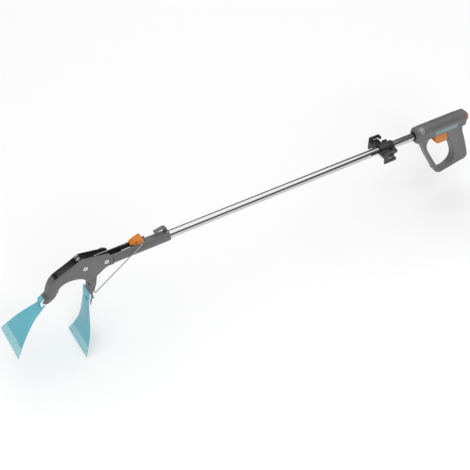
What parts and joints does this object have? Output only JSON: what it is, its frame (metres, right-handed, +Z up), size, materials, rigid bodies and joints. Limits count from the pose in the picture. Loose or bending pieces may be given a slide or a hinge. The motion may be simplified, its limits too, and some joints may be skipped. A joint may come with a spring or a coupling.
{
  "type": "reacher grabber",
  "caption": "Long-handled reacher with a pistol grip, sliding trigger, metal shaft and a hinged head whose flared comb-edged shovels close together.",
  "frame": {"origin": "on the shaft's axis, above the middle of the grip", "axes": "+X along the shaft from head to handle, +Z up from the trigger side, Y across"},
  "size_m": [1.0494, 0.085, 0.2191],
  "materials": {
    "grey_plastic": "fine grained",
    "dark_plastic": "smooth",
    "orange_plastic": "satin",
    "turquoise_plastic": "satin",
    "polished_tube": "polished",
    "steel": "drawn",
    "spring_steel": "drawn",
    "bright_rivet": "bright",
    "black_plastic": "fine grained",
    "rubber": "smooth",
    "panel": "satin, plain"
  },
  "bodies": {
    "frame": {"tube": "polished_tube", "guide_rail": "steel", "front_rod_bush": "dark_plastic", "rear_rod_bush": "dark_plastic", "neck_sleeve": "grey_plastic", "latch_pin": "steel", "head_plate_right": "grey_plastic", "head_plate_left": "grey_plastic", "arm_block": "dark_plastic", "arm_pins": "steel", "pivot_rivet": "bright_rivet", "neck_rivets": "bright_rivet", "jaw_spring": "spring_steel", "front_shovel": "turquoise_plastic", "handle_shell_left": "grey_plastic", "handle_shell_right": "grey_plastic", "handle_screws": "steel", "side_panel": "panel", "trigger_guide_pin": "dark_plastic", "trigger_spring": "spring_steel", "button_spring": "spring_steel"},
    "rear_jaw": {"rear_jaw": "grey_plastic", "lever_pin": "steel", "rear_shovel": "turquoise_plastic", "shovel_knob": "turquoise_plastic"},
    "trigger_and_rod": {"trigger": "orange_plastic", "rod_anchor": "steel", "pull_rod": "steel", "rod_yoke": "steel"},
    "slider": {"slider": "orange_plastic"},
    "wire_link": {"wire_link": "steel"},
    "latch": {"latch_tab": "grey_plastic"},
    "rear_button": {"rear_button": "orange_plastic"},
    "clip_liner": {"clip_liner": "rubber"},
    "clip": {"accessory_clip": "black_plastic", "clip_screw": "steel", "clip_nut": "steel"}
  },
  "joints": [
    {"name": "jaw_hinge", "type": "hinge", "parent": "frame", "child": "rear_jaw", "pos_m": [-0.85, 0, 0.009], "axis": [0, 1, 0], "range_deg": [0, 42.5], "stiffness_Nm_per_rad": 0.25, "springref_deg": -20.05},
    {"name": "trigger_slide", "type": "slide", "parent": "frame", "child": "trigger_and_rod", "axis": [1, 0, 0], "range_m": [0, 0.01487], "stiffness_N_per_m": 400, "springref_m": -0.006, "deforming": ["trigger_spring"]},
    {"name": "slider_travel", "type": "slide", "parent": "frame", "child": "slider", "axis": [-1, 0, 0], "range_m": [0, 0.0419]},
    {"name": "wire_hinge", "type": "hinge", "parent": "slider", "child": "wire_link", "pos_m": [-0.738, 0, 0.0155], "axis": [0, 1, 0], "range_deg": [0, 5.6]},
    {"name": "latch_hinge", "type": "hinge", "parent": "frame", "child": "latch", "pos_m": [-0.6834, 0, 0.0134], "axis": [0, -1, 0], "range_deg": [0, 6], "stiffness_Nm_per_rad": 1, "springref_deg": -2.86},
    {"name": "button_press", "type": "slide", "parent": "frame", "child": "rear_button", "axis": [-1, 0, 0], "range_m": [0, 0.003], "stiffness_N_per_m": 500, "springref_m": -0.002, "deforming": ["button_spring"]},
    {"name": "clip_slide", "type": "slide", "parent": "frame", "child": "clip_liner", "axis": [1, 0, 0], "range_m": [-0.46, 0.05]},
    {"name": "clip_swivel", "type": "hinge", "parent": "clip_liner", "child": "clip", "pos_m": [-0.185, 0, 0], "axis": [1, 0, 0], "range_deg": [-180, 180]}
  ],
  "couplings": [
    {"joint": "trigger_slide", "follows": "jaw_hinge", "m_per_rad": 0.020033},
    {"joint": "slider_travel", "follows": "jaw_hinge", "m_per_rad": 0.05633},
    {"joint": "wire_hinge", "follows": "jaw_hinge", "ratio": 0.1277}
  ]
}
